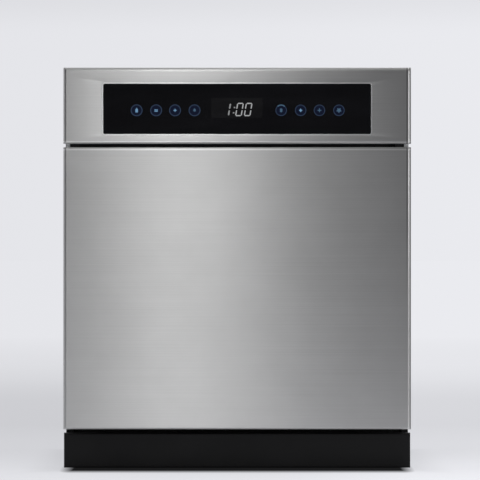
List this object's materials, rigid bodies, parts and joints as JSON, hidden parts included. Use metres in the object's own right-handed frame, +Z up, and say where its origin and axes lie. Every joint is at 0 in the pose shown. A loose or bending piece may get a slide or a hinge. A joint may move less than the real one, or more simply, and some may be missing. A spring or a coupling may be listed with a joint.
{
  "type": "dishwasher",
  "caption": "Built-under dishwasher with a brushed steel drop-down door, glass touch console, pull-out wire racks, spray arms, filters, pumps and adjustable feet.",
  "frame": {"origin": "on the floor under the middle of the body", "axes": "+Z up, +X to the right as seen from the front, the front faces -Y"},
  "size_m": [0.598, 0.57, 0.6925],
  "materials": {
    "front_steel": "fine horizontal brushing",
    "tub_steel": "satin rolled stainless",
    "zinc_steel": "galvanised sheet",
    "black_glass": "gloss black glass",
    "bezel_metal": "polished edge",
    "black_plastic": "fine textured black",
    "grey_plastic": "moulded grey",
    "light_plastic": "moulded light grey",
    "coated_wire": "nylon coated wire",
    "seal_rubber": "black rubber",
    "circuit": "green board",
    "felt": "bitumen felt"
  },
  "bodies": {
    "cabinet": {"base_tray": "black_plastic", "plinth": "black_plastic", "side_panels": "zinc_steel", "top_panel": "zinc_steel", "rear_panel": "zinc_steel", "tub_wrapper": "tub_steel", "tub_rear_wall": "tub_steel", "tub_floor": "tub_steel", "tub_gasket": "seal_rubber", "sump": "black_plastic", "spray_hub": "grey_plastic", "filter_plate": "tub_steel", "wash_pump_housing": "black_plastic", "drain_pump_housing": "black_plastic", "drain_outlet": "light_plastic", "water_inlet_valve": "light_plastic", "power_inlet": "black_plastic", "softener_tank": "light_plastic", "riser_pipe": "grey_plastic", "upper_rails": "tub_steel", "hinge_brackets": "zinc_steel", "door_springs": "zinc_steel", "cabinet_screws": "zinc_steel", "fixing_brackets": "zinc_steel", "latch_strike": "tub_steel"},
    "door": {"door_panel": "front_steel", "door_insulation": "felt", "console_fascia": "front_steel", "glass_bezel": "bezel_metal", "control_glass": "black_glass", "control_board": "circuit", "console_housing": "black_plastic", "door_liner": "tub_steel", "hinge_arms": "zinc_steel", "door_screws": "tub_steel", "dispenser_body": "light_plastic"},
    "dispenser_flap": {"dispenser_flap": "grey_plastic"},
    "rinse_cap": {"rinse_cap": "grey_plastic"},
    "latch_cam": {"latch_cam": "grey_plastic"},
    "upper_rack": {"upper_rack": "coated_wire"},
    "upper_spray_arm": {"upper_spray_arm": "grey_plastic"},
    "cup_shelf_left": {"cup_shelf_left": "grey_plastic"},
    "cup_shelf_right": {"cup_shelf_right": "grey_plastic"},
    "rail_middles": {"rail_middles": "tub_steel"},
    "lower_rack": {"lower_rack": "coated_wire", "cutlery_basket": "grey_plastic"},
    "folding_tines": {"folding_tines": "coated_wire"},
    "rack_wheels_front": {"rack_wheels_front": "grey_plastic"},
    "rack_wheels_middle": {"rack_wheels_middle": "grey_plastic"},
    "rack_wheels_rear": {"rack_wheels_rear": "grey_plastic"},
    "lower_spray_arm": {"lower_spray_arm": "grey_plastic"},
    "wash_impeller": {"wash_impeller": "light_plastic"},
    "drain_impeller": {"drain_impeller": "light_plastic"},
    "micro_filter": {"micro_filter": "grey_plastic"},
    "softener_cap": {"softener_cap": "grey_plastic"},
    "water_float": {"water_float": "grey_plastic"},
    "foot_front_left": {"foot_front_left": "black_plastic"},
    "foot_front_right": {"foot_front_right": "black_plastic"},
    "foot_rear_left": {"foot_rear_left": "black_plastic"},
    "foot_rear_right": {"foot_rear_right": "black_plastic"}
  },
  "joints": [
    {"name": "door_hinge", "type": "hinge", "parent": "cabinet", "child": "door", "pos_m": [0, -0.263, 0.108], "axis": [1, 0, 0], "range_deg": [0, 90], "stiffness_Nm_per_rad": 17},
    {"name": "upper_rack_slide", "type": "slide", "parent": "cabinet", "child": "upper_rack", "axis": [0, -1, 0], "range_m": [0, 0.45]},
    {"name": "rail_middle_slide", "type": "slide", "parent": "cabinet", "child": "rail_middles", "axis": [0, -1, 0], "range_m": [0, 0.225]},
    {"name": "lower_rack_slide", "type": "slide", "parent": "cabinet", "child": "lower_rack", "axis": [0, -1, 0], "range_m": [0, 0.45]},
    {"name": "upper_arm_spin", "type": "hinge", "parent": "upper_rack", "child": "upper_spray_arm", "pos_m": [0, 0.013, 0.406], "axis": [0, 0, 1], "continuous": true},
    {"name": "lower_arm_spin", "type": "hinge", "parent": "cabinet", "child": "lower_spray_arm", "pos_m": [0, 0.013, 0.1605], "axis": [0, 0, 1], "continuous": true},
    {"name": "cup_shelf_left_fold", "type": "hinge", "parent": "upper_rack", "child": "cup_shelf_left", "pos_m": [-0.2302, 0, 0.52], "axis": [0, -1, 0], "range_deg": [0, 85]},
    {"name": "cup_shelf_right_fold", "type": "hinge", "parent": "upper_rack", "child": "cup_shelf_right", "pos_m": [0.2302, 0, 0.52], "axis": [0, 1, 0], "range_deg": [0, 85]},
    {"name": "tines_fold", "type": "hinge", "parent": "lower_rack", "child": "folding_tines", "pos_m": [0.106, 0, 0.20105], "axis": [0, -1, 0], "range_deg": [0, 88]},
    {"name": "dispenser_flap_hinge", "type": "hinge", "parent": "door", "child": "dispenser_flap", "pos_m": [-0.045, -0.22945, 0.32525], "axis": [-1, 0, 0], "range_deg": [0, 95]},
    {"name": "rinse_cap_turn", "type": "hinge", "parent": "door", "child": "rinse_cap", "pos_m": [0.048, -0.233, 0.354], "axis": [0, 1, 0], "range_deg": [0, 90]},
    {"name": "latch_cam_pivot", "type": "hinge", "parent": "door", "child": "latch_cam", "pos_m": [0, -0.257, 0.67], "axis": [-1, 0, 0], "range_deg": [0, 12], "stiffness_Nm_per_rad": 0.3},
    {"name": "filter_turn", "type": "hinge", "parent": "cabinet", "child": "micro_filter", "pos_m": [0, -0.033, 0.142], "axis": [0, 0, 1], "range_deg": [0, 60]},
    {"name": "salt_cap_turn", "type": "hinge", "parent": "cabinet", "child": "softener_cap", "pos_m": [-0.178, -0.1305, 0.142], "axis": [0, 0, 1], "range_deg": [0, 360]},
    {"name": "float_lift", "type": "slide", "parent": "cabinet", "child": "water_float", "axis": [0, 0, 1], "range_m": [0, 0.006]},
    {"name": "wash_impeller_spin", "type": "hinge", "parent": "cabinet", "child": "wash_impeller", "pos_m": [0.104, 0.013, 0.076], "axis": [1, 0, 0], "continuous": true},
    {"name": "drain_impeller_spin", "type": "hinge", "parent": "cabinet", "child": "drain_impeller", "pos_m": [0.06, -0.175, 0.06], "axis": [0, 1, 0], "continuous": true},
    {"name": "wheels_front_spin", "type": "hinge", "parent": "lower_rack", "child": "rack_wheels_front", "pos_m": [0, -0.095, 0.1753], "axis": [1, 0, 0], "range_deg": [0, 1520]},
    {"name": "wheels_middle_spin", "type": "hinge", "parent": "lower_rack", "child": "rack_wheels_middle", "pos_m": [0, 0.035, 0.1753], "axis": [1, 0, 0], "range_deg": [0, 1520]},
    {"name": "wheels_rear_spin", "type": "hinge", "parent": "lower_rack", "child": "rack_wheels_rear", "pos_m": [0, 0.165, 0.1753], "axis": [1, 0, 0], "range_deg": [0, 1520]},
    {"name": "foot_front_left_height", "type": "slide", "parent": "cabinet", "child": "foot_front_left", "axis": [0, 0, 1], "range_m": [-0.015, 0]},
    {"name": "foot_front_right_height", "type": "slide", "parent": "cabinet", "child": "foot_front_right", "axis": [0, 0, 1], "range_m": [-0.015, 0]},
    {"name": "foot_rear_left_height", "type": "slide", "parent": "cabinet", "child": "foot_rear_left", "axis": [0, 0, 1], "range_m": [-0.015, 0]},
    {"name": "foot_rear_right_height", "type": "slide", "parent": "cabinet", "child": "foot_rear_right", "axis": [0, 0, 1], "range_m": [-0.015, 0]}
  ],
  "couplings": [
    {"joint": "upper_rack_slide", "follows": "door_hinge", "m_per_rad": 0.285},
    {"joint": "rail_middle_slide", "follows": "door_hinge", "m_per_rad": 0.1425},
    {"joint": "lower_rack_slide", "follows": "door_hinge", "m_per_rad": 0.165},
    {"joint": "wheels_front_spin", "follows": "door_hinge", "ratio": 9.7059},
    {"joint": "wheels_middle_spin", "follows": "door_hinge", "ratio": 9.7059},
    {"joint": "wheels_rear_spin", "follows": "door_hinge", "ratio": 9.7059}
  ]
}
